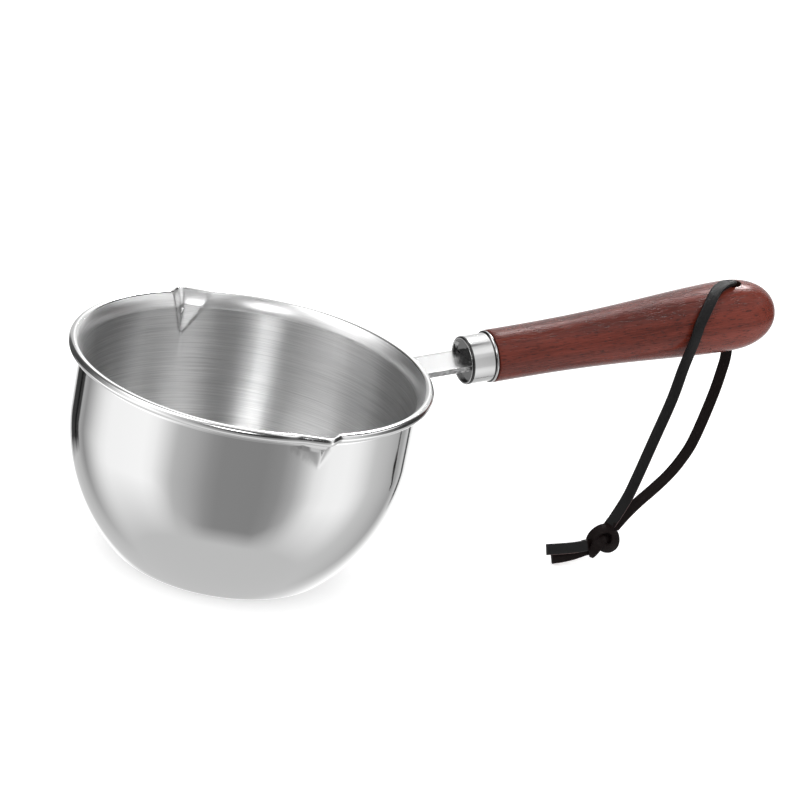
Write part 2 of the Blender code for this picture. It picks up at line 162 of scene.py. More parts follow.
# Patterns of the materials. The scales say how often a pattern repeats in a metre along x, y and z.
BRUSH_FINE = (52.0, 52.0, 4200.0)
BRUSH_BROAD = (26.0, 26.0, 1500.0)
SHEARED_GRAIN = (900.0, 900.0, 1500.0)
LEATHER_GRAIN = (2600.0, 2600.0, 2600.0)
WOOD_BANDS = (13.0, 150.0, 150.0)
WOOD_FIBRES = (75.0, 2000.0, 2000.0)
WOOD_PORES = (280.0, 2500.0, 2500.0)
WOOD_RINGS_SIDEWAYS = 500.0
WOOD_RINGS_UPWARD = 1500.0
WOOD_RINGS_WANDER = 16.0
WOOD_RINGS_SHARE = 0.07
WOOD_DARK = (0.028, 0.0030, 0.0012)
WOOD_LIGHT = (0.142, 0.025, 0.015)
WOOD_PORE_COLOUR = (0.022, 0.006, 0.005)
# Stations along the handle over which the wood is painted paler towards the bulb's end: painted light
PAINTED_LIGHT_WOOD_END = (0.178, 0.216)

# Values worked out from the ones above
FLARE_CENTRE_RADIUS = WALL_RADIUS + BEND_RADIUS + (FLARE_RADIUS - BEND_RADIUS) * math.cos(BEND_ANGLE)
BEAD_CENTRE_RADIUS = WALL_RADIUS + RIM_OVERHANG - BEAD_RADIUS
BEAD_OFFSET = FLARE_RADIUS + SHEET - BEAD_RADIUS
BEAD_ANGLE = math.acos((BEAD_CENTRE_RADIUS - FLARE_CENTRE_RADIUS) / BEAD_OFFSET)
FLARE_CENTRE_HEIGHT = RIM_HEIGHT - BEAD_OFFSET * math.sin(BEAD_ANGLE)
BEND_HEIGHT = FLARE_CENTRE_HEIGHT + (FLARE_RADIUS - BEND_RADIUS) * math.sin(BEND_ANGLE)
HANDLE_HEIGHT = RIM_HEIGHT - HANDLE_DROP
CUP_FACE = WALL_RADIUS + ARM_REACH
CUP_BACK = CUP_FACE + CUP_FLOOR
CUP_END = CUP_BACK + CUP_DEPTH
GRIP_START = CUP_END + FIT
BULB_STATION = GRIP_START + GRIP_LENGTH
GRIP_END = BULB_STATION + BULB_NOSE
HOLE_STATION = GRIP_END - HOLE_FROM_END
TANG_START = CUP_FACE - FIT
TANG_END = TANG_START + TANG_LENGTH
STUD_START = TANG_END + FIT
STUD_END = STUD_START + STUD_LENGTH
INSERT_START = STUD_START + INSERT_SETBACK
INSERT_END = INSERT_START + INSERT_LENGTH
INSERT_BORE = STUD_RADIUS + FIT
BORE_RADIUS = math.hypot(TANG_WIDTH, STRAP_THICKNESS) / 2 + FIT
PILOT_RADIUS = STUD_RADIUS + FIT * 1.2

# Lace route in the handle's own frame, in millimetres: along the handle from the hole, to the
# side, and up. The points are those of the model's source.
MM_IN_METRE = 1000
UNDER_HOLE = (0.0, 0.0, -14.8)
MID_HOLE = (0.0, 0.0, 2.0)
FLAT_ON_GRIP = (-6.4, -3.6, 14.3)
OFF_GRIP = (-22.5, -13.9, -0.9)
OVER_SHOULDER = (
    (0.0, 0.0, 8.0),
    (-0.1, -0.5, 11.6),
    (-0.4, -1.8, 13.9),
    (-1.4, -2.9, 14.5),
    (-4.1, -3.0, 14.5),
    FLAT_ON_GRIP,
    (-8.9, -4.9, 13.9),
    (-11.1, -6.6, 13.1),
    (-13.3, -8.4, 11.8),
    (-17.0, -11.2, 8.8),
    (-20.3, -13.2, 4.9),
    OFF_GRIP,
)
NEAR_LEG = (
    (-26.4, -14.2, -10.6),
    (-30.8, -14.8, -22.9),
    (-37.7, -15.7, -37.7),
    (-44.6, -16.6, -52.4),
    (-48.5, -17.0, -59.8),
    (-54.7, -17.6, -68.4),
)
FAR_LEG = (
    (-1.9, -0.5, -22.9),
    (-6.1, -1.8, -33.2),
    (-14.3, -5.0, -46.9),
    (-21.0, -7.6, -53.2),
    (-27.5, -10.0, -57.1),
    (-34.4, -12.2, -60.2),
    (-41.6, -14.2, -63.3),
    (-47.6, -15.7, -66.7),
    (-52.5, -16.8, -70.3),
)
KNOT_CENTRE = (-58.2, -18.0, -74.2)
FRONT_TAIL = (
    (-65.1, -19.2, -74.4),
    (-70.5, -19.6, -74.0),
    (-76.5, -19.9, -73.2),
    (-82.1, -20.0, -72.4),
)
BACK_TAIL = (
    (-64.3, -17.2, -77.4),
    (-69.5, -17.7, -77.9),
    (-74.5, -18.2, -77.8),
    (-78.9, -18.5, -77.4),
)

# Turns of the knot: the route of each in millimetres right, up and nearer than KNOT_CENTRE in the
# photograph, the point that its face looks away from, and its share of the width at its end
KNOT_TURNS = (
    (((4.4, 2.6, 0.6), (3.2, 4.0, 1.4), (1.6, 4.5, 1.9), (-0.6, 3.9, 2.2), (-2.5, 2.6, 2.2),
      (-3.8, 0.8, 1.8), (-4.2, -1.2, 0.9), (-3.4, -3.0, -0.4)),
     (0.0, 0.0, -3.0), 1.0),
    (((2.6, 4.6, -0.6), (4.4, 3.0, 0.5), (5.0, 0.8, 1.0), (4.6, -1.4, 1.2), (3.0, -2.7, 1.4),
      (1.0, -2.6, 1.6), (-0.4, -1.4, 1.9), (-0.2, 0.2, 2.3), (1.2, 1.0, 2.4)),
     (2.2, -0.4, -1.2), 1.0),
    (((-0.5, 0.9, 2.0), (-1.6, -1.4, 2.9), (-2.9, -3.7, 2.3), (-3.6, -5.5, 0.8), (-3.5, -5.7, -0.6),
      (-2.6, -4.4, -1.8)),
     (-1.2, -1.0, -4.0), 0.35),
    (((3.9, 7.2, 0.8), (2.7, 5.4, 0.6), (1.4, 3.4, 0.4), (0.6, 1.8, 0.0)),
     (1.0, 1.0, -9.0), 1.0),
    (((5.6, 6.8, -1.5), (4.6, 5.2, -1.5), (3.2, 3.2, -1.2), (2.2, 1.8, -1.0)),
     (2.0, 1.0, -9.0), 1.0),
    (((-7.2, -1.8, 3.4), (-5.8, -1.6, 2.8), (-4.4, -1.4, 1.2), (-3.0, -1.0, 0.0)),
     (-3.0, -1.0, -9.0), 1.0),
    (((-6.6, -3.7, 0.4), (-4.8, -3.3, 0.3), (-3.0, -2.6, 0.0)),
     (-4.0, -3.0, -9.0), 0.7),
)
KNOT_MIDDLE = (0.0, -0.1, -0.6)
KNOT_MIDDLE_SIZE = (4.2, 3.4, 2.4)


# Camera
def view_axes():
    """The camera's forward, right and up directions."""
    az, el = VIEW_AZIMUTH, VIEW_ELEVATION
    forward = Vector((-math.sin(az) * math.cos(el), math.cos(az) * math.cos(el), -math.sin(el)))
    level = Vector((math.cos(az), math.sin(az), 0.0))
    raised = level.cross(forward)
    right = math.cos(VIEW_ROLL) * level + math.sin(VIEW_ROLL) * raised
    up = math.cos(VIEW_ROLL) * raised - math.sin(VIEW_ROLL) * level
    return forward, right, up


def add_camera():
    """The camera that shows its target, on the bowl's axis, at its pixel of the photograph."""
    forward, right, up = view_axes()
    data = bpy.data.cameras.new("photo_view")
    data.sensor_width = SENSOR_WIDTH
    data.lens = FOCAL_PIXELS * SENSOR_WIDTH / IMAGE_SIDE
    data.clip_end = FAR_CLIP
    camera = bpy.data.objects.new("photo_view", data)
    bpy.context.scene.collection.objects.link(camera)
    aside = (TARGET_PIXEL[0] - IMAGE_SIDE / 2) * VIEW_DISTANCE / FOCAL_PIXELS
    above = (IMAGE_SIDE / 2 - TARGET_PIXEL[1]) * VIEW_DISTANCE / FOCAL_PIXELS
    spot = Vector((0.0, 0.0, TARGET_HEIGHT)) - forward * VIEW_DISTANCE - right * aside - up * above
    turn = Matrix((right, up, -forward)).transposed()
    camera.matrix_world = Matrix.Translation(spot) @ turn.to_4x4()
    bpy.context.scene.camera = camera
    return spot


# Meshes
def held(value):
    """A value held between 0 and 1."""
    return min(max(value, 0.0), 1.0)


def arc(centre, radius, start, end, steps):
    """Points of an arc, in degrees from +X, both ends included."""
    angles = np.radians(np.linspace(start, end, steps + 1))
    return [(centre[0] + radius * math.cos(a), centre[1] + radius * math.sin(a)) for a in angles]


def new_object(name, verts, faces, materials, kinds, sharp=SHARP_ANGLE):
    """A smooth-shaded mesh object with sharp edges where its faces turn by more than sharp.

    kinds gives the number of each face's material.
    """
    mesh = bpy.data.meshes.new(name)
    mesh.from_pydata([tuple(v) for v in verts], [], faces)
    for made in materials:
        mesh.materials.append(made)
    mesh.polygons.foreach_set("material_index", kinds)
    mesh.validate()
    mesh.shade_smooth()
    mesh.set_sharp_from_angle(angle=math.radians(sharp))
    obj = bpy.data.objects.new(name, mesh)
    bpy.context.scene.collection.objects.link(obj)
    return obj


def turned_mesh(profile, columns, angles=None):
    """Points, faces and each face's row, from a (radius, height) profile turned about Z."""
    if angles is None:
        angles = np.arange(columns) * 2 * math.pi / columns
    ring = [i for i, (radius, height) in enumerate(profile) if radius > AXIS_RADIUS]
    where = {i: k for k, i in enumerate(ring)}
    verts = []
    for a in angles:
        verts += [(profile[i][0] * math.cos(a), profile[i][0] * math.sin(a), profile[i][1]) for i in ring]
    poles = {}
    for i, (radius, height) in enumerate(profile):
        if radius <= AXIS_RADIUS:
            poles[i] = len(verts)
            verts.append((0.0, 0.0, height))
    faces = []
    rows = []
    spans = len(profile) - 1 if poles else len(profile)
    for c in range(columns):
        here, there = c * len(ring), (c + 1) % columns * len(ring)
        for i in range(spans):
            j = (i + 1) % len(profile)
            if i in poles:
                face = (poles[i], there + where[j], here + where[j])
            elif j in poles:
                face = (here + where[i], there + where[i], poles[j])
            else:
                face = (here + where[i], there + where[i], there + where[j], here + where[j])
            faces.append(face)
            rows.append(i)
    return np.array(verts), faces, rows


def tube_faces(size, count):
    """Side faces of a tube of count sections of size points, and the (section, point) of each."""
    faces = []
    places = []
    for i in range(count - 1):
        for k in range(size):
            m = (k + 1) % size
            faces.append((i * size + k, i * size + m, (i + 1) * size + m, (i + 1) * size + k))
            places.append((i, k))
    return faces, places


def facing_out(obj):
    """Turns all faces outward."""
    work = bmesh.new()
    work.from_mesh(obj.data)
    bmesh.ops.recalc_face_normals(work, faces=work.faces)
    work.to_mesh(obj.data)
    work.free()
    return obj


def on_handle(along, side, up):
    """A point in the handle's frame, in metres from the bowl's axis, as a point of the model."""
    across = Vector((-math.sin(HANDLE_RISE), 0.0, math.cos(HANDLE_RISE)))
    ahead = Vector((math.cos(HANDLE_RISE), 0.0, math.sin(HANDLE_RISE)))
    return Vector((0.0, side, HANDLE_HEIGHT)) + ahead * along + across * up


def handle_matrix():
    """Carries local +Z onto the handle line."""
    lean = Matrix.Rotation(math.pi / 2 - HANDLE_RISE, 4, "Y")
    return Matrix.Translation((0.0, 0.0, HANDLE_HEIGHT)) @ lean


def handle_piece(name, profile, columns, materials, row_kinds=None, place=Matrix.Identity(4)):
    """A profile turned about the handle's line, or about where place puts it, as an object.

    row_kinds gives the number of a row's material where it isn't 0.
    """
    verts, faces, rows = turned_mesh(profile, columns)
    matrix = handle_matrix() @ place
    kinds = [(row_kinds or {}).get(row, 0) for row in rows]
    return facing_out(new_object(name, [matrix @ Vector(v) for v in verts], faces, materials, kinds))


# Materials
def shader_material(name, colour, metallic, roughness, specular=0.5, anisotropy=0.0, turn=0.0):
    """A material with its Principled BSDF set up. Returns the material, its tree and shader."""
    made = bpy.data.materials.new(name)
    made.use_nodes = True
    tree = made.node_tree
    shader = tree.nodes["Principled BSDF"]
    shader.inputs["Base Color"].default_value = (*colour, 1.0)
    shader.inputs["Metallic"].default_value = metallic
    shader.inputs["Roughness"].default_value = roughness
    shader.inputs["Specular IOR Level"].default_value = specular
    shader.inputs["Anisotropic"].default_value = anisotropy
    shader.inputs["Anisotropic Rotation"].default_value = turn
    return made, tree, shader


def node(tree, kind, inputs=None, **settings):
    """Adds a node with its settings, and its inputs from values or other sockets."""
    made = tree.nodes.new(kind)
    for key, value in settings.items():
        setattr(made, key, value)
    for key, value in (inputs or {}).items():
        if isinstance(value, bpy.types.NodeSocket):
            tree.links.new(value, made.inputs[key])
        else:
            made.inputs[key].default_value = value
    return made


def maths(tree, operation, a, b=0.0):
    """A math node's result."""
    return node(tree, "ShaderNodeMath", {0: a, 1: b}, operation=operation).outputs[0]


def remap(tree, value, low, high, to_low=0.0, to_high=1.0):
    """A value mapped from one range to another, held at its ends."""
    made = node(tree, "ShaderNodeMapRange", {0: value, 1: low, 2: high, 3: to_low, 4: to_high})
    return made.outputs[0]


def mix_colours(tree, share, a, b):
    """Blend of two colours. A colour is a socket or an RGB triple."""
    inputs = {0: share, 6: a, 7: b}
    inputs = {key: (*value, 1.0) if isinstance(value, tuple) else value for key, value in inputs.items()}
    return node(tree, "ShaderNodeMix", inputs, data_type="RGBA").outputs[2]


def object_point(tree):
    """The point in the object's own coordinates."""
    return node(tree, "ShaderNodeTexCoord").outputs["Object"]


def noise_at(tree, point, scales, detail):
    """Noise at a point that is first stretched by its scales."""
    spread = node(tree, "ShaderNodeMapping", {"Vector": point, "Scale": scales}, vector_type="POINT")
    inputs = {"Vector": spread.outputs[0], "Scale": 1.0, "Detail": detail, "Roughness": 0.6}
    return node(tree, "ShaderNodeTexNoise", inputs).outputs["Fac"]


def add_bump(tree, shader, height, depth):
    """Raises a shader's surface by a height pattern."""
    bump = node(tree, "ShaderNodeBump", {"Strength": 1.0, "Distance": depth, "Height": height})
    tree.links.new(bump.outputs[0], shader.inputs["Normal"])


def turned_point(tree):
    """A point for patterns that run round the bowl: x, y and the way up the wall."""
    x, y, z = node(tree, "ShaderNodeSeparateXYZ", {0: object_point(tree)}).outputs
    squares = maths(tree, "ADD", maths(tree, "MULTIPLY", x, x), maths(tree, "MULTIPLY", y, y))
    climb = maths(tree, "ADD", maths(tree, "SQRT", squares), z)
    return node(tree, "ShaderNodeCombineXYZ", {0: x, 1: y, 2: climb}).outputs[0]


def brushed_steel(name, dark, light, roughness, anisotropy, swing, depth):
    """Steel brushed round the bowl's axis, so its highlights stretch up and down.

    Its grey goes from dark to light from line to line, and its roughness by swing to either side.
    """
    made, tree, shader = shader_material(
        name, (light,) * 3, metallic=1.0, roughness=roughness, anisotropy=anisotropy, turn=0.25)
    tangent = node(tree, "ShaderNodeTangent", direction_type="RADIAL", axis="Z")
    tree.links.new(tangent.outputs[0], shader.inputs["Tangent"])
    point = turned_point(tree)
    fine = noise_at(tree, point, BRUSH_FINE, detail=2.0)
    broad = noise_at(tree, point, BRUSH_BROAD, detail=2.0)
    lines = maths(tree, "ADD", maths(tree, "MULTIPLY", fine, 0.65), maths(tree, "MULTIPLY", broad, 0.35))
    share = remap(tree, lines, 0.36, 0.64)
    tree.links.new(mix_colours(tree, share, (dark,) * 3, (light,) * 3), shader.inputs["Base Color"])
    rough = remap(tree, share, 0.0, 1.0, roughness + swing, roughness - swing)
    tree.links.new(rough, shader.inputs["Roughness"])
    add_bump(tree, shader, lines, depth)
    return made


def polished_steel(name, level, roughness):
    """Smooth steel."""
    return shader_material(name, (level,) * 3, metallic=1.0, roughness=roughness)[0]


def sheared_steel():
    """The strap's cut edges: grey and coarsely ground."""
    made, tree, shader = shader_material("sheared_steel", (0.4, 0.4, 0.4), metallic=1.0, roughness=0.5)
    grain = noise_at(tree, object_point(tree), SHEARED_GRAIN, detail=2.0)
    share = remap(tree, grain, 0.38, 0.62)
    tree.links.new(mix_colours(tree, share, (0.2,) * 3, (0.55,) * 3), shader.inputs["Base Color"])
    add_bump(tree, shader, grain, depth=0.0002)
    return made


def wood_material():
    """Oiled red-brown hardwood: streaks and short dark pores along the handle, and painted light that makes
    it paler towards its end.
    """
    made, tree, shader = shader_material(
        "oiled_wood", (0.10, 0.02, 0.013), metallic=0.0, roughness=0.23, specular=0.30)
    shader.inputs["Sheen Weight"].default_value = 0.02
    shader.inputs["Sheen Roughness"].default_value = 0.35
    shader.inputs["Specular Tint"].default_value = (1.0, 0.84, 0.84, 1.0)
    shader.inputs["Sheen Tint"].default_value = (1.0, 0.78, 0.86, 1.0)
    settings = {"Vector": object_point(tree), "Rotation": (0.0, HANDLE_RISE, 0.0)}
    along = node(tree, "ShaderNodeMapping", settings).outputs[0]
    broad = noise_at(tree, along, WOOD_BANDS, detail=4.0)
    fibres = noise_at(tree, along, WOOD_FIBRES, detail=3.0)
    pores = noise_at(tree, along, WOOD_PORES, detail=2.0)
    x, y, z = node(tree, "ShaderNodeSeparateXYZ", {0: along}).outputs
    upward = maths(tree, "MULTIPLY", z, WOOD_RINGS_UPWARD)
    layers = maths(tree, "ADD", upward, maths(tree, "MULTIPLY", y, WOOD_RINGS_SIDEWAYS))
    wander = maths(tree, "MULTIPLY", broad, WOOD_RINGS_WANDER)
    rings = maths(tree, "SINE", maths(tree, "ADD", layers, wander))
    tone = remap(tree, broad, 0.3, 0.7, 0.05, 0.55)
    tone = maths(tree, "ADD", tone, maths(tree, "MULTIPLY", rings, WOOD_RINGS_SHARE))
    tone = maths(tree, "ADD", tone, remap(tree, fibres, 0.3, 0.7, 0.0, 0.45))
    # Painted light: the wood turns paler towards the bulb's end
    tone = maths(tree, "ADD", tone, remap(tree, x, *PAINTED_LIGHT_WOOD_END, 0.0, 0.5))
    colour = mix_colours(tree, tone, WOOD_DARK, WOOD_LIGHT)
    holes = remap(tree, pores, 0.58, 0.65, 0.0, 0.75)
    colour = mix_colours(tree, holes, colour, WOOD_PORE_COLOUR)
    tree.links.new(colour, shader.inputs["Base Color"])
    tree.links.new(remap(tree, fibres, 0.3, 0.7, 0.21, 0.30), shader.inputs["Roughness"])
    relief = maths(tree, "SUBTRACT", maths(tree, "MULTIPLY", fibres, 0.3), holes)
    add_bump(tree, shader, relief, depth=0.00006)
    return made


def leather_material(name, colour, specular):
    """Dark grained leather."""
    made, tree, shader = shader_material(name, colour, metallic=0.0, roughness=0.5, specular=specular)
    grain = noise_at(tree, object_point(tree), LEATHER_GRAIN, detail=2.0)
    share = remap(tree, grain, 0.35, 0.65)
    darker = tuple(0.6 * v for v in colour)
    lighter = tuple(1.4 * v for v in colour)
    tree.links.new(mix_colours(tree, share, darker, lighter), shader.inputs["Base Color"])
    add_bump(tree, shader, grain, depth=0.00012)
    return made


# Bowl
def bowl_profile():
    """Section of the sheet, and the rows of it where the flare, the bead and the outside start."""
    rise = UPRIGHT_FROM - KNUCKLE_RADIUS
    run = WALL_RADIUS - BASE_RADIUS
    belly = (run * run + rise * rise - KNUCKLE_RADIUS**2) / (2 * (run - KNUCKLE_RADIUS))
    belly_centre = (WALL_RADIUS - belly, UPRIGHT_FROM)
    knuckle_centre = (BASE_RADIUS, KNUCKLE_RADIUS)
    turn = -math.degrees(math.atan2(rise, BASE_RADIUS - belly_centre[0]))
    bend_centre = (WALL_RADIUS + BEND_RADIUS, BEND_HEIGHT)
    bend_end = 180.0 - math.degrees(BEND_ANGLE)
    flare_centre = (FLARE_CENTRE_RADIUS, FLARE_CENTRE_HEIGHT)
    bead_centre = (BEAD_CENTRE_RADIUS, RIM_HEIGHT)
    bead_top = math.degrees(BEAD_ANGLE)
    tuck = (FLARE_RADIUS**2 + BEAD_OFFSET**2 - BEAD_RADIUS**2) / (2 * FLARE_RADIUS * BEAD_OFFSET)
    fillet_end = bead_top + math.degrees(math.acos(tuck))
    join = arc(flare_centre, FLARE_RADIUS, fillet_end, fillet_end, steps=1)[0]
    bead_end = math.degrees(math.atan2(join[1] - RIM_HEIGHT, join[0] - BEAD_CENTRE_RADIUS)) % 360.0
    wall = list(np.linspace(RIM_HEIGHT - SPOUT_DEPTH, BEND_HEIGHT, num=12)[:-1])

    inside = [(0.0, SHEET)]
    inside += [(BASE_RADIUS * share, SHEET) for share in (0.25, 0.5, 0.75)]
    inside += arc(knuckle_centre, KNUCKLE_RADIUS - SHEET, -90.0, turn, steps=8)
    inside += arc(belly_centre, belly - SHEET, turn, 0.0, steps=24)[1:]
    inside += [(WALL_RADIUS - SHEET, z) for z in wall]
    flare = arc(bend_centre, BEND_RADIUS + SHEET, 180.0, bend_end, steps=8)
    flare += arc(flare_centre, FLARE_RADIUS + SHEET, bend_end, bead_top, steps=10)[1:]
    bead = arc(bead_centre, BEAD_RADIUS, bead_top, bead_end - 360.0, steps=16)[1:-1]
    fillet = arc(flare_centre, FLARE_RADIUS, fillet_end, bend_end, steps=8)
    fillet += arc(bend_centre, BEND_RADIUS, bend_end, 180.0, steps=6)[1:]
    outside = [(WALL_RADIUS, z) for z in reversed(wall)]
    outside += arc(belly_centre, belly, 0.0, turn, steps=24)
    outside += arc(knuckle_centre, KNUCKLE_RADIUS, turn, -90.0, steps=8)[1:]
    outside += [(BASE_RADIUS * share, 0.0) for share in (0.75, 0.5, 0.25, 0.0)]
    rim_from = len(inside)
    outside_from = rim_from + len(flare) + len(bead) + len(fillet) - 1
    bead_from = rim_from + len(flare) - 1
    return inside + flare + bead + fillet + outside, (rim_from, bead_from, outside_from)


def spout_push(radius, angle, height, rounding, depth):
    """How far the spouts push a point of the bowl outward."""
    lift = held((height - (RIM_HEIGHT - depth)) / (depth + BEAD_RADIUS))
    if lift == 0.0:
        return 0.0
    turn = angle - math.copysign(math.pi / 2, angle)
    flank = SPOUT_STEEP_FLANK if turn > 0.0 else SPOUT_WIDE_FLANK
    across = abs(turn) * (WALL_RADIUS + RIM_OVERHANG) / (flank * lift)
    if across >= SPOUT_FADE:
        return 0.0
    fold = 1.0 - math.hypot(across, rounding)
    fold = (fold + math.hypot(fold, rounding)) / 2
    lip = held((radius - WALL_RADIUS) / RIM_OVERHANG)
    hold = 1.0 - LIP_HOLD_BACK * lip * lip * (3 - 2 * lip)
    return SPOUT_REACH * lift * fold * hold


def make_bowl(surfaces):
    """The bowl. surfaces are those of its inside, its flare, its bead and its outside."""
    profile, starts = bowl_profile()
    angles = np.arange(BOWL_COLUMNS) * 2 * math.pi / BOWL_COLUMNS
    angles = angles + COLUMN_CROWDING / 2 * np.sin(2 * angles)
    verts, faces, rows = turned_mesh(profile, BOWL_COLUMNS, angles)
    for vert in verts:
        radius = math.hypot(vert[0], vert[1])
        if radius > FIT:
            angle = math.atan2(vert[1], vert[0])
            on_wall = vert[2] < BEND_HEIGHT
            outside = on_wall and radius > WALL_RADIUS - SHEET / 2
            rounding = OUTSIDE_SPOUT_ROUNDING if outside else SPOUT_ROUNDING
            depth = OUTSIDE_SPOUT_DEPTH if outside else SPOUT_DEPTH
            radius += spout_push(radius, angle, vert[2], rounding, depth)
            vert[0], vert[1] = radius * math.cos(angle), radius * math.sin(angle)
    kinds = [sum(row >= start for start in starts) for row in rows]
    bowl = facing_out(new_object("steel_bowl", verts, faces, surfaces, kinds))
    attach(bowl, "root")
    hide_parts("bowl")


# Handle
def strap_rows():
    """Rows across the strap: x, z, half width, how far it curves with the wall, its face's way."""
    offset = WALL_RADIUS + FIT + STRAP_THICKNESS / 2
    corner_height = HANDLE_HEIGHT + offset * math.tan(HANDLE_RISE)
    turn = math.pi / 2 - HANDLE_RISE
    tangent = STRAP_BEND * math.tan(turn / 2)
    half = STRAP_WIDTH / 2
    foot = RIM_HEIGHT - FOOT_DROP
    rows = []
    for i in range(FOOT_STEPS + 1):
        angle = math.radians(90.0 * i / FOOT_STEPS)
        rise = FOOT_CORNER * (1 - math.cos(angle))
        rows.append((offset, foot + rise, half - FOOT_CORNER * (1 - math.sin(angle)), 1.0, math.pi))
    centre = (offset + STRAP_BEND, corner_height - tangent)
    for i in range(STRAP_BEND_STEPS + 1):
        share = i / STRAP_BEND_STEPS
        angle = math.pi - turn * share
        x = centre[0] + STRAP_BEND * math.cos(angle)
        rows.append((x, centre[1] + STRAP_BEND * math.sin(angle), half, 1.0 - share, angle))
    up = math.pi / 2 + HANDLE_RISE
    for station, width in ((TANG_START, half), (TANG_START, TANG_WIDTH / 2), (TANG_END, TANG_WIDTH / 2)):
        x = station * math.cos(HANDLE_RISE)
        rows.append((x, HANDLE_HEIGHT + station * math.sin(HANDLE_RISE), width, 0.0, up))
    return rows


def make_strap(face_steel, edge_steel):
    """The strap with rounded corners: its flat faces satin, its edges as sheared."""
    thin = STRAP_THICKNESS / 2
    flat = thin - STRAP_CORNER
    steps = STRAP_CORNER_STEPS
    verts = []
    for x, z, half, curve, way in strap_rows():
        reach = half - STRAP_CORNER
        section = [(reach * share, thin) for share in np.linspace(-1.0, 1.0, STRAP_ACROSS_STEPS + 1)]
        for middle, start in (((reach, flat), 60.0), ((reach, -flat), 0.0)):
            section += arc(middle, STRAP_CORNER, start, start - 60.0, steps)
        section += [(reach * share, -thin) for share in np.linspace(1.0, -1.0, STRAP_ACROSS_STEPS + 1)]
        for middle, start in (((-reach, -flat), 240.0), ((-reach, flat), 180.0)):
            section += arc(middle, STRAP_CORNER, start, start - 60.0, steps)
        for y, out in section:
            bow = curve * y * y / (2 * WALL_RADIUS)
            verts.append((x - bow + out * math.cos(way), y, z + out * math.sin(way)))
    size = len(section)
    count = len(verts) // size
    back_from = STRAP_ACROSS_STEPS + 1 + 2 * (steps + 1)
    flat_sides = (*range(STRAP_ACROSS_STEPS), *range(back_from, back_from + STRAP_ACROSS_STEPS))
    faces, places = tube_faces(size, count)
    kinds = [0 if k in flat_sides else 1 for _, k in places]
    faces += [tuple(range(size)), tuple((count - 1) * size + k for k in range(size))]
    kinds += [1, 1]
    strap = facing_out(new_object("steel_strap", verts, faces, (face_steel, edge_steel), kinds))
    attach(strap, "root")
    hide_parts("handle_strap")


def make_ferrule(steel, painted_shade_floor_steel, painted_shade_steel):
    """The cup with its rounded front lip, flat floor and rolled rear flange.

    The lip's round-over and the groove before the flange are painted near black, as a painted dark
    reflection and painted shade, and the floor is painted darker steel, as painted shade in the recess.
    """
    outer = CUP_BORE + CUP_WALL
    front = CUP_FACE - CUP_LIP
    roll = (FLANGE_RADIUS - FLANGE_ROLL, CUP_END - FLANGE_ROLL)
    profile = [(0.0, CUP_BACK), (CUP_BORE, CUP_BACK), (CUP_BORE, CUP_END)]
    profile += arc(roll, FLANGE_ROLL, 90.0, -50.0, steps=10)
    neck_from = len(profile) - 1
    neck = (outer + FLANGE_ROLL, CUP_END - FLANGE_ROLL * FLANGE_NECK)
    profile += arc(neck, FLANGE_ROLL, 130.0, 180.0, steps=4)
    lip_from = len(profile)
    round_over = CUP_WALL - LIP_ROUND
    profile += [(outer, front + round_over + LIP_LINE)]
    profile += arc((outer - round_over, front + round_over), round_over, 0.0, -90.0, steps=8)
    profile += arc((CUP_BORE + LIP_ROUND, front + LIP_ROUND), LIP_ROUND, -90.0, -180.0, steps=5)[1:]
    profile += [(CUP_BORE, CUP_FACE), (0.0, CUP_FACE)]
    # Material 1 paints the cup's floor darker, as painted shade in its recess; material 2 paints the lip's
    # round-over and the flange's groove near black, as painted reflection and painted shade
    floor, line = 1, 2
    runs = ((neck_from, PAINTED_SHADE_NECK_ROWS, line), (lip_from, PAINTED_SHADE_LIP_ROWS, line), (len(profile) - 2, 2, floor))
    row_kinds = {row: kind for start, count, kind in runs for row in range(start, start + count)}
    steels = (steel, painted_shade_floor_steel, painted_shade_steel)
    ferrule = handle_piece("steel_ferrule", profile, columns=96, materials=steels, row_kinds=row_kinds)
    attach(ferrule, "root")
    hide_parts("ferrule")


def grip_radius(station):
    """Radius of the grip between its shoulder and its bulb."""
    share = held((station - GRIP_START) / GRIP_LENGTH) ** GRIP_TAPER_POWER
    return GRIP_FRONT_RADIUS + (BULB_RADIUS - GRIP_FRONT_RADIUS) * share * share * (3 - 2 * share)


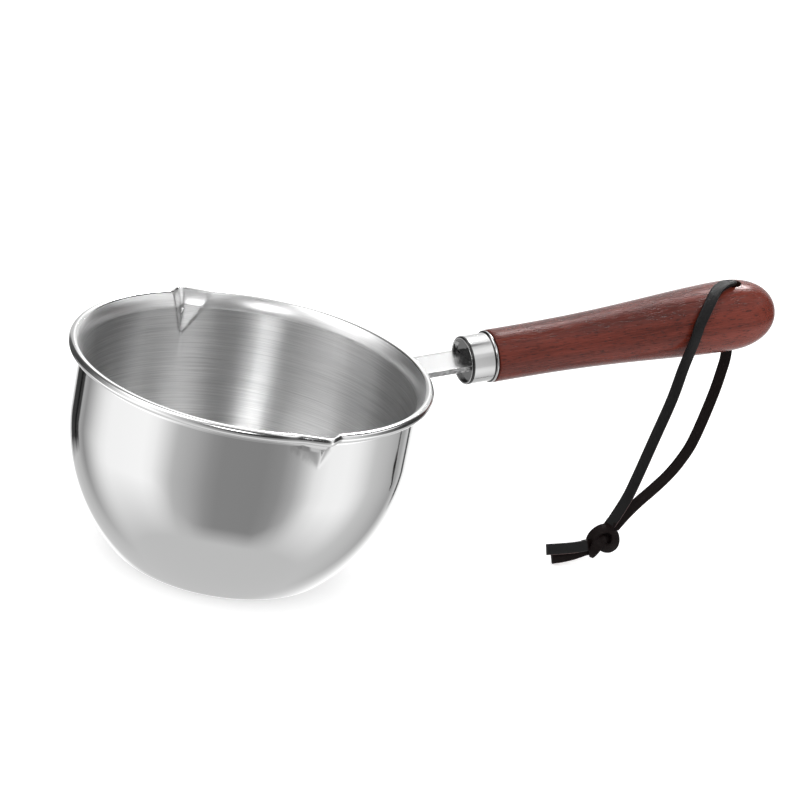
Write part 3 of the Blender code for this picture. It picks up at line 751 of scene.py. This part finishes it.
def make_grip(woods):
    """The turned grip with its tenon, bore and lace hole. woods are its surface and the hole's walls, which
    are painted near black as painted shade.
    """
    profile = []
    for angle in np.radians(np.linspace(90.0, 0.0, num=33)):
        radius = BULB_RADIUS * math.cos(angle) ** (2 / NOSE_POWER) if profile else 0.0
        profile.append((radius, BULB_STATION + BULB_NOSE * math.sin(angle) ** (2 / NOSE_POWER)))
    for station in np.linspace(BULB_STATION, GRIP_START + SHOULDER_EDGE, num=61)[1:]:
        profile.append((grip_radius(station), station))
    edge = (GRIP_FRONT_RADIUS - SHOULDER_EDGE, GRIP_START + SHOULDER_EDGE)
    profile += arc(edge, SHOULDER_EDGE, -30.0, -90.0, steps=2)
    profile += [
        (CUP_BORE - FIT, GRIP_START),
        (CUP_BORE - FIT, CUP_BACK + TENON_FRONT_GAP),
        (BORE_RADIUS, CUP_BACK + TENON_FRONT_GAP),
        (BORE_RADIUS, INSERT_END + FIT),
        (PILOT_RADIUS, INSERT_END + FIT),
        (PILOT_RADIUS, STUD_END + FIT),
        (0.0, STUD_END + FIT),
    ]
    grip = handle_piece("wooden_grip", profile, columns=128, materials=woods)
    reach = BULB_RADIUS * 1.5
    wide = HOLE_MOUTH_RADIUS - HOLE_RADIUS
    mouth = [(0.0, reach), (HOLE_MOUTH_RADIUS, reach)]
    for a in np.radians(np.linspace(0.0, 90.0, num=7)):
        height = BULB_RADIUS - HOLE_MOUTH_DEPTH * (1 - math.cos(a))
        mouth.append((HOLE_RADIUS + wide * (1 - math.sin(a)), height))
    mouth += [(radius, -height) for radius, height in reversed(mouth)]
    # The drill's faces give the hole's walls the wood painted near black as painted shade
    painted_shade_hole_kinds = dict.fromkeys(range(len(mouth)), 1)
    across = Matrix.Translation((0.0, 0.0, HOLE_STATION)) @ Matrix.Rotation(math.pi / 2, 4, "Y")
    drill = handle_piece("lace_drill", mouth, 48, woods, painted_shade_hole_kinds, across)
    cut = grip.modifiers.new("lace_hole", "BOOLEAN")
    cut.solver = "EXACT"
    cut.object = drill
    graph = bpy.context.evaluated_depsgraph_get()
    drilled = bpy.data.meshes.new_from_object(grip.evaluated_get(graph), depsgraph=graph)
    grip.modifiers.clear()
    grip.data = drilled
    drilled.shade_smooth()
    drilled.set_sharp_from_angle(angle=math.radians(SHARP_ANGLE))
    bpy.data.objects.remove(drill, do_unlink=True)
    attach(grip, "root")
    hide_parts("wood_handle")


def make_stud(steel):
    """The stud: plain ends with chamfers and a thread between them, drawn as rings."""
    start, end = STUD_START, STUD_END
    profile = [(0.0, end), (STUD_RADIUS - END_CHAMFER, end), (STUD_RADIUS, end - END_CHAMFER)]
    station = end - END_CHAMFER - THREAD_PITCH / 2
    while station > start + END_CHAMFER + THREAD_PITCH * 2:
        profile += [(STUD_RADIUS - THREAD_DEPTH, station), (STUD_RADIUS, station - THREAD_PITCH / 2)]
        station -= THREAD_PITCH
    profile += [(STUD_RADIUS, start + END_CHAMFER), (STUD_RADIUS - END_CHAMFER, start), (0.0, start)]
    stud = handle_piece("steel_stud", profile, columns=32, materials=(steel,))
    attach(stud, "root")
    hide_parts("tang_stud")


def make_insert(brass):
    """The brass insert: chamfered ends, ribs that grip the wood and a plain bore."""
    outer = min(INSERT_BORE + INSERT_WALL, BORE_RADIUS - FIT)
    root, edge = outer - RIB_DEPTH, outer - END_CHAMFER
    profile = [(INSERT_BORE, INSERT_END), (edge, INSERT_END), (outer, INSERT_END - END_CHAMFER)]
    station = INSERT_END - END_CHAMFER - THREAD_PITCH
    while station > INSERT_START + END_CHAMFER + THREAD_PITCH:
        profile += [(outer, station), (root, station - THREAD_PITCH / 4)]
        profile += [(root, station - THREAD_PITCH / 2), (outer, station - THREAD_PITCH * 3 / 4)]
        station -= THREAD_PITCH * 1.5
    profile += [(outer, INSERT_START + END_CHAMFER), (edge, INSERT_START), (INSERT_BORE, INSERT_START)]
    insert = handle_piece("brass_insert", profile, columns=48, materials=(brass,))
    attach(insert, "root")
    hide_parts("stud_insert")


# Lace
def smooth_route(points, spacing):
    """Points along a smooth curve through a route, evenly spaced."""
    points = [Vector(p) for p in points]
    fine = []
    for i in range(len(points) - 1):
        before = points[max(i - 1, 0)]
        after = points[min(i + 2, len(points) - 1)]
        a, b = points[i], points[i + 1]
        for j in range(CURVE_STEPS):
            t = j / CURVE_STEPS
            part = 2 * a + (b - before) * t
            part = part + (2 * before - 5 * a + 4 * b - after) * t**2
            fine.append((part + (3 * a - before - 3 * b + after) * t**3) / 2)
    fine.append(points[-1])
    steps = np.array([(fine[i + 1] - fine[i]).length for i in range(len(fine) - 1)])
    walked = np.concatenate([[0.0], np.cumsum(steps)])
    count = max(round(walked[-1] / spacing), 3)
    stops = np.linspace(0.0, walked[-1], count + 1)
    table = np.array([tuple(p) for p in fine])
    return [Vector([np.interp(s, walked, table[:, k]) for k in range(3)]) for s in stops]


def lace_point(point):
    """A lace point, in the handle's frame and millimetres, as a point of the model."""
    along, side, up = (value / MM_IN_METRE for value in point)
    return on_handle(HOLE_STATION + along, side, up)


def way_along(centres, i):
    """The way that a route runs at one of its centres."""
    return (centres[min(i + 1, len(centres) - 1)] - centres[max(i - 1, 0)]).normalized()


def square_to(ahead, way):
    """The part of a way that stands square to another one."""
    return (way - ahead * way.dot(ahead)).normalized()


def lace_section():
    """The flat lace's section with rounded corners, as (across, through) pairs."""
    half, thin = LACE_WIDTH / 2, LACE_THICKNESS / 2
    corner = thin * LACE_CORNER
    section = []
    for side_x, side_z, start in ((1, 1, 0), (-1, 1, 90), (-1, -1, 180), (1, -1, 270)):
        for step in range(3):
            angle = math.radians(start + 45 * step)
            section.append((side_x * (half - corner) + corner * math.cos(angle),
                            side_z * (thin - corner) + corner * math.sin(angle)))
    return section


def band_mesh(centres, ways, shares=None):
    """A flat band along its centres: points, faces, and 1 for a face of its pale cut edge, else 0.

    ways gives, for each centre, the way that the band's face looks, and shares its share of the
    full width.
    """
    section = lace_section()
    shares = shares or [1.0] * len(centres)
    size = len(section)
    verts = []
    for i, centre in enumerate(centres):
        ahead = way_along(centres, i)
        face = square_to(ahead, ways[i])
        across = ahead.cross(face)
        verts += [centre + across * a * shares[i] + face * t for a, t in section]
    faces, places = tube_faces(size, len(centres))
    pale_from = PALE_EDGE_FROM * len(centres)
    kinds = [1 if k in PALE_EDGE_SIDES and i > pale_from else 0 for i, k in places]
    last = (len(centres) - 1) * size
    faces += [tuple(reversed(range(size))), tuple(last + k for k in range(size))]
    kinds += [0, 0]
    return verts, faces, kinds


def band(name, parts, leathers, core=None):
    """One object of one or more bands, each given as what band_mesh takes, and a core."""
    verts, faces, kinds = [], [], []
    meshes = [band_mesh(*part) for part in parts]
    for more_verts, more_faces, more_kinds in meshes + ([core] if core else []):
        faces += [tuple(len(verts) + v for v in face) for face in more_faces]
        verts += more_verts
        kinds += more_kinds
    return facing_out(new_object(name, verts, faces, leathers, kinds, sharp=LACE_SHARP_ANGLE))


def untwisted(centres, start, way):
    """Face ways carried along a route without twist, both ways from the start index."""
    ways = [None] * len(centres)
    for step, stop in ((1, len(centres)), (-1, -1)):
        kept = way
        for i in range(start, stop, step):
            kept = square_to(way_along(centres, i), kept)
            ways[i] = kept
    return ways


def radial_way(point):
    """The way out of the grip at a point of the model."""
    ahead = on_handle(1.0, 0.0, 0.0) - on_handle(0.0, 0.0, 0.0)
    return square_to(ahead, point - on_handle(0.0, 0.0, 0.0))


def near_ways(centres, to_view):
    """The near leg's face lies on the grip's shoulder, then turns to the view below it."""
    on_wood = min(range(len(centres)), key=lambda i: (centres[i] - lace_point(FLAT_ON_GRIP)).length)
    off = min(range(len(centres)), key=lambda i: (centres[i] - lace_point(OFF_GRIP)).length)
    ways = untwisted(centres, on_wood, radial_way(centres[on_wood]))
    for i in range(on_wood, len(centres)):
        lying = radial_way(centres[min(i, off)])
        ways[i] = lying.lerp(to_view, held((i - off) / TURN_TO_VIEW_STEPS))
    for i in range(LIE_DOWN_STEPS):
        share = i / LIE_DOWN_STEPS
        ways[on_wood - i] = ways[on_wood - i].lerp(radial_way(centres[on_wood - i]), 1 - share)
    return ways


def view_point(offset):
    """A point of the knot: (right, up, nearer) of its centre as seen in the photograph, in mm."""
    forward, right, up = view_axes()
    moved = right * offset[0] + up * offset[1] - forward * offset[2]
    return lace_point(KNOT_CENTRE) + moved / MM_IN_METRE


def knot_parts():
    """The knot's turns of lace, each with its face looking away from its middle."""
    parts = []
    for turn, middle, end_share in KNOT_TURNS:
        centres = smooth_route([view_point(p) for p in turn], KNOT_SPACING)
        hub = view_point(middle)
        ways = [(centre - hub).normalized() for centre in centres]
        run = np.clip(np.linspace(*KNOT_TAPER, len(centres)), 0.0, 1.0)
        parts.append((centres, ways, list(1.0 - (1.0 - end_share) * run * run)))
    return parts


def knot_core():
    """The part of the lace inside the knot, as one rounded lump that fills it."""
    rings = [(math.sin(a), -math.cos(a)) for a in np.linspace(0.0, math.pi, num=13)]
    rings[0], rings[-1] = (0.0, -1.0), (0.0, 1.0)
    verts, faces = turned_mesh(rings, columns=24)[:2]
    moved = []
    for vert in verts:
        moved.append(view_point([m + s * v for m, s, v in zip(KNOT_MIDDLE, KNOT_MIDDLE_SIZE, vert)]))
    return moved, faces, [0] * len(faces)


def make_lace(leathers, back_leathers):
    """The lace: a near and a far leg, the knot and two tails.

    Each pair of leathers is that of the face and of the cut edge.
    """
    to_view = -view_axes()[0]
    near = smooth_route([lace_point(p) for p in (MID_HOLE, *OVER_SHOULDER, *NEAR_LEG)], LACE_SPACING)
    shares = list(np.interp(range(len(near)), HOLE_WIDTH_STEPS, (HOLE_WIDTH_SHARE, 1.0)))
    near_band = band("lace_near", [(near, near_ways(near, to_view), shares)], leathers)
    far = smooth_route([lace_point(p) for p in (MID_HOLE, UNDER_HOLE, *FAR_LEG)], LACE_SPACING)
    far_band = band("lace_far", [(far, [to_view] * len(far))], back_leathers)
    knot = band("lace_knot_turns", knot_parts(), (back_leathers[0], back_leathers[0]), knot_core())
    pieces = [(knot, "lace_knot")]
    for name, route, look, stands_for in (
        ("tail_front", FRONT_TAIL, leathers, "lace_tail_front"),
        ("tail_back", BACK_TAIL, back_leathers, "lace_tail_back"),
    ):
        line = smooth_route([lace_point(p) for p in route], LACE_SPACING)
        pieces.append((band(name, [(line, [to_view] * len(line))], look), stands_for))
    for piece, stands_for in pieces:
        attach(piece, "hang_loop")
        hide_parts(stands_for)

    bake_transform(near_band)
    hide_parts("lace_bight", "lace_near_leg")
    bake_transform(far_band)
    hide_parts("lace_far_leg")


# Studio
# What shiny things mirror, as (heading in degrees from the camera's direction, brightness) at four
# heights. The bowl's outside shows the lowest. Its rim, flare and inside show the others.
LOW_PANELS = (
    (-180, 1.35), (-166, 1.25), (-160, 0.75), (-140, 0.62), (-128, 0.38), (-120, 0.64), (-112, 0.95),
    (-104, 1.2), (-96, 1.33), (-64, 1.38), (-56, 1.28), (-48, 0.98), (-40, 0.67), (-28, 0.55),
    (-16, 0.385), (-8, 0.33), (20, 0.32), (32, 0.37), (42, 0.55), (49, 0.82), (56, 1.13), (66, 1.3),
    (80, 1.33), (88, 1.24), (97, 1.02), (105, 0.8), (120, 0.66), (138, 0.45), (156, 1.15),
    (164, 1.3), (180, 1.35),
)
RIM_PANELS = (
    (-180, 1.3), (-168, 0.6), (-156, 0.6), (-150, 0.1), (-124, 0.05), (-110, 0.1), (-96, 0.3),
    (-82, 0.8), (-70, 1.1), (-60, 1.2), (-46, 0.8), (-34, 0.5), (-20, 0.25), (-8, 0.15), (0, 0.05),
    (14, 0.05), (22, 0.05), (32, 0.15), (46, 0.7), (60, 0.9), (72, 0.7), (84, 0.4), (98, 0.15),
    (112, 0.05), (139, 0.05), (145, 0.8), (166, 0.8), (180, 1.3),
)
BAND_PANELS = (
    (-180, 1.6), (-160, 1.2), (-148, 0.1), (-124, 0.1), (-108, 0.3), (-92, 1.0), (-76, 1.6),
    (-60, 1.6), (-50, 1.2), (-38, 0.7), (-28, 0.3), (-20, 1.0), (-12, 4.4), (-5, 6.3), (1, 6.0),
    (6, 3.2), (11, 0.5), (16, 0.1), (28, 0.0), (36, 0.3), (46, 0.9), (64, 0.9), (80, 0.9), (96, 1.1),
    (116, 1.1), (126, 0.1), (142, 0.1), (150, 1.0), (160, 1.2), (180, 1.6),
)
HIGH_PANELS = (
    (-180, 1.5), (-160, 1.5), (-148, 0.2), (-124, 0.2), (-108, 0.7), (-94, 2.2), (-60, 3.4), (-48, 2.2),
    (-40, 1.4), (-30, 0.6), (-22, 0.12), (14, 0.10), (30, 0.10), (37, 0.7), (44, 1.4), (64, 1.2),
    (78, 0.9), (98, 1.0), (108, 0.1), (140, 0.1), (148, 1.2), (178, 1.5),
)
# Elevations in degrees over which each set of panels fades in over the one below it
RIM_FROM = (-19.0, -14.0)
BAND_FROM = (25.0, 29.0)
HIGH_FROM = (40.0, 46.0)
ZENITH_FROM = (73.0, 78.0)
ZENITH_LEVEL = 0.7
# Dark strips at the sides of the low panels: headings from and to, softness and brightness, and the
# elevations over which they fade in
FLAG_LEVEL = 0.055
LINE_LEVEL = 0.005
FLAG_LEFT = (-157.0, -136.5, 0.7, FLAG_LEVEL)
LINE_LEFT = (-145.0, -142.0, 0.5, LINE_LEVEL)
LINE_RIGHT = (147.0, 151.5, 0.6, FLAG_LEVEL)
STRIPS_FROM = (-29.0, -26.0)
# The mirrored floor: heading, and the elevations where it starts to show and where it is full, at the
# middle and at the sides
FLOOR_LEVEL = 0.75
FLOOR_MIDDLE = (25.0, -49.5, -61.5)
FLOOR_SIDES = (55.0, -30.0, -60.0)
# A bright window for the handle's top: headings from and to, softness, brightness; then its height
HANDLE_LIGHT = (154.0, 174.0, 3.0, 36.0)
HANDLE_LIGHT_RISE = (40.0, 54.0, 3.0)
# What matt things see, and the floor itself
DOME_LEVEL = 1.3
FLOOR_SIZE = 40.0
FLOOR_SINK = 0.0001
FLOOR_GREY = 0.92
FLOOR_GLOW = 0.35


def heading_ramp(tree, turn, panels):
    """Brightness by heading. turn is 0.5 toward the camera and 0 or 1 away from it."""
    ramp = node(tree, "ShaderNodeValToRGB", {0: turn})
    stops = ramp.color_ramp.elements
    stops.remove(stops[-1])
    for i, (heading, level) in enumerate(panels):
        share = heading / 360 + 0.5
        stop = stops[0] if i == 0 else stops.new(share)
        stop.position = share
        stop.color = (level, level, level, 1.0)
    return ramp.outputs[0]


def mix_levels(tree, share, a, b):
    """Blend of two brightnesses."""
    return node(tree, "ShaderNodeMix", {0: share, 2: a, 3: b}, data_type="FLOAT").outputs[0]


def band_of(tree, value, low, high, soft):
    """1 between low and high with soft edges, 0 outside."""
    rise = remap(tree, value, low - soft, low + soft)
    fall = remap(tree, value, high - soft, high + soft, 1.0, 0.0)
    return maths(tree, "MULTIPLY", rise, fall)


def add_world(camera_spot):
    """Studio light: an even dome for matt things, and panels for shiny things to mirror."""
    world = bpy.data.worlds.new("studio")
    bpy.context.scene.world = world
    world.use_nodes = True
    world.cycles.sampling_method = "NONE"
    tree = world.node_tree
    tree.nodes.clear()
    way = node(tree, "ShaderNodeTexCoord").outputs["Generated"]
    x, y, z = node(tree, "ShaderNodeSeparateXYZ", {0: way}).outputs
    to_camera = math.atan2(camera_spot.y, camera_spot.x)
    offset = maths(tree, "SUBTRACT", maths(tree, "ARCTAN2", y, x), to_camera)
    turn = maths(tree, "DIVIDE", offset, 2 * math.pi)
    turn = maths(tree, "FRACT", maths(tree, "ADD", turn, 1.5))
    heading = maths(tree, "MULTIPLY", maths(tree, "SUBTRACT", turn, 0.5), 360.0)
    elevation = maths(tree, "MULTIPLY", maths(tree, "ARCSINE", z), 180 / math.pi)

    level = heading_ramp(tree, turn, LOW_PANELS)
    above = remap(tree, elevation, *STRIPS_FROM)
    for low, high, soft, dark in (FLAG_LEFT, LINE_LEFT, LINE_RIGHT):
        flag = maths(tree, "MULTIPLY", band_of(tree, heading, low, high, soft), above)
        level = mix_levels(tree, flag, level, dark)
    aside = maths(tree, "ABSOLUTE", heading)
    starts = remap(tree, aside, FLOOR_MIDDLE[0], FLOOR_SIDES[0], FLOOR_MIDDLE[1], FLOOR_SIDES[1])
    ends = remap(tree, aside, FLOOR_MIDDLE[0], FLOOR_SIDES[0], FLOOR_MIDDLE[2], FLOOR_SIDES[2])
    level = mix_levels(tree, remap(tree, elevation, ends, starts, 1.0, 0.0), level, FLOOR_LEVEL)
    for panels, fade in ((RIM_PANELS, RIM_FROM), (BAND_PANELS, BAND_FROM), (HIGH_PANELS, HIGH_FROM)):
        level = mix_levels(tree, remap(tree, elevation, *fade), level, heading_ramp(tree, turn, panels))
    level = mix_levels(tree, remap(tree, elevation, *ZENITH_FROM), level, ZENITH_LEVEL)
    low, high, soft, bright = HANDLE_LIGHT
    in_height = band_of(tree, elevation, *HANDLE_LIGHT_RISE)
    lit = maths(tree, "MULTIPLY", band_of(tree, heading, low, high, soft), in_height)
    level = mix_levels(tree, lit, level, bright)
    glossy = node(tree, "ShaderNodeLightPath").outputs["Is Glossy Ray"]
    mirrored = node(tree, "ShaderNodeBackground", {0: level, 1: 1.0}).outputs[0]
    even = node(tree, "ShaderNodeBackground", {0: (1.0, 1.0, 1.0, 1.0), 1: DOME_LEVEL}).outputs[0]
    both = node(tree, "ShaderNodeMixShader", {0: glossy, 1: even, 2: mirrored})
    node(tree, "ShaderNodeOutputWorld", {0: both.outputs[0]})


def add_floor():
    """A wide pale floor that glows a little and isn't mirrored."""
    bpy.ops.mesh.primitive_plane_add(size=FLOOR_SIZE, location=(0.0, 0.0, -FLOOR_SINK))
    floor = bpy.context.object
    floor.name = "pale_floor"
    grey = (FLOOR_GREY,) * 3
    made, _, shader = shader_material("pale_floor", grey, metallic=0.0, roughness=0.9, specular=0.0)
    shader.inputs["Emission Color"].default_value = (1.0, 1.0, 1.0, 1.0)
    shader.inputs["Emission Strength"].default_value = FLOOR_GLOW
    floor.data.materials.append(made)
    floor.visible_glossy = False


bpy.context.scene.view_settings.view_transform = "Standard"
camera_spot = add_camera()
face_leather = leather_material("dark_leather", colour=(0.0044, 0.0040, 0.0044), specular=0.26)
edge_leather = leather_material("cut_leather", colour=(0.13, 0.080, 0.076), specular=0.15)
back_leather = leather_material("back_leather", colour=(0.0070, 0.0040, 0.0038), specular=0.10)
make_lace((face_leather, edge_leather), (back_leather, edge_leather))
inside_steel = brushed_steel(
    "inside_steel", dark=0.60, light=0.80, roughness=0.36, anisotropy=1.0, swing=0.05, depth=0.00001)
flare_steel = brushed_steel(
    "flare_steel", dark=0.80, light=0.95, roughness=0.34, anisotropy=0.3, swing=0.04, depth=0.00001)
# The bead and the fillet under it are painted lighter than the outside's polished steel: a painted highlight
# band
painted_light_bead_steel = polished_steel("painted_light_bead_steel", level=0.86, roughness=0.12)
outside_steel = polished_steel("outside_steel", level=0.66, roughness=0.07)
make_bowl((inside_steel, flare_steel, painted_light_bead_steel, outside_steel))
make_strap(polished_steel("strap_steel", level=0.62, roughness=0.25), sheared_steel())
# The ferrule's second steel paints the cup's floor darker as painted shade in its recess; its third paints
# the dark lines near black as painted shade and painted reflection
make_ferrule(
    polished_steel("ferrule_steel", level=0.62, roughness=0.16),
    polished_steel("painted_shade_floor_steel", level=0.32, roughness=0.10),
    polished_steel("painted_shade_steel", level=0.06, roughness=0.20))
grip_wood = wood_material()
# The lace hole's walls are painted near black: painted shade inside the hole
painted_shade_hole_wood = shader_material(
    "painted_shade_hole_wood", colour=(0.012, 0.004, 0.003), metallic=0.0, roughness=0.7, specular=0.1)[0]
make_grip((grip_wood, painted_shade_hole_wood))
make_stud(polished_steel("stud_steel", level=0.45, roughness=0.35))
make_insert(shader_material("insert_brass", colour=(0.72, 0.52, 0.22), metallic=1.0, roughness=0.3)[0])
add_world(camera_spot)
add_floor()
